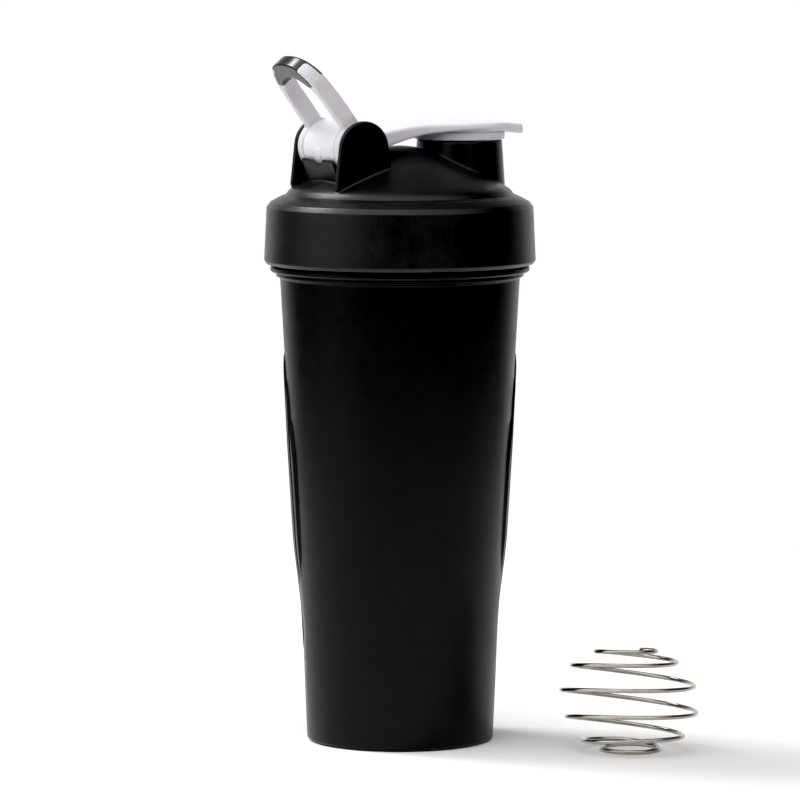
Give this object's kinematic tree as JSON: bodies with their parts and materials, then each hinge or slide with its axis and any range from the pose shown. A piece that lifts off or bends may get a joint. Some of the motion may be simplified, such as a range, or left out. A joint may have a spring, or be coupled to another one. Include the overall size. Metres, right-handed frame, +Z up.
{
  "type": "protein shaker bottle",
  "caption": "Tapered plastic shaker bottle with a screw lid, flip cap over a spout, carry loop with soft grip, and a loose wire whisk ball.",
  "frame": {"origin": "centre of the cup's underside, on the surface it stands on", "axes": "+Z up the cup's axis, +X towards the spout, the hinge axis along Y"},
  "size_m": [0.1327, 0.1409, 0.2518],
  "materials": {
    "cup_plastic": "black polypropylene, semi-matte",
    "lid_plastic": "black polypropylene, fine grain",
    "seal_silicone": "translucent white silicone",
    "cap_plastic": "cool white plastic, satin",
    "plug_plastic": "cool white soft plastic",
    "loop_plastic": "cool white plastic, satin",
    "grip_rubber": "glossy black overmould",
    "ball_steel": "polished stainless wire"
  },
  "bodies": {
    "cup": {"cup": "cup_plastic"},
    "seal_ring": {"lid_seal_ring": "seal_silicone"},
    "lid": {"lid": "lid_plastic"},
    "flip_cap": {"flip_cap": "cap_plastic", "spout_plug": "plug_plastic"},
    "carry_loop": {"carry_loop": "loop_plastic", "loop_grip": "grip_rubber"},
    "whisk_ball": {"whisk_ball": "ball_steel"}
  },
  "joints": [
    {"name": "lid_rise", "type": "slide", "parent": "cup", "child": "seal_ring", "axis": [0, 0, 1], "range_m": [0, 0.0065]},
    {"name": "lid_turn", "type": "hinge", "parent": "seal_ring", "child": "lid", "pos_m": [0, 0, 0.19], "axis": [0, 0, 1], "range_deg": [0, 450]},
    {"name": "cap_hinge", "type": "hinge", "parent": "lid", "child": "flip_cap", "pos_m": [-0.0246, 0, 0.21825], "axis": [0, -1, 0], "range_deg": [0, 90]},
    {"name": "loop_hinge", "type": "hinge", "parent": "lid", "child": "carry_loop", "pos_m": [-0.0246, 0, 0.21825], "axis": [0, -1, 0], "range_deg": [-7, 85]},
    {"name": "ball_lift", "type": "slide", "parent": "cup", "child": "whisk_ball", "axis": [0, 0, 1], "range_m": [0, 0.06]}
  ],
  "couplings": [
    {"joint": "lid_rise", "follows": "lid_turn", "m_per_rad": 0.00079577}
  ]
}
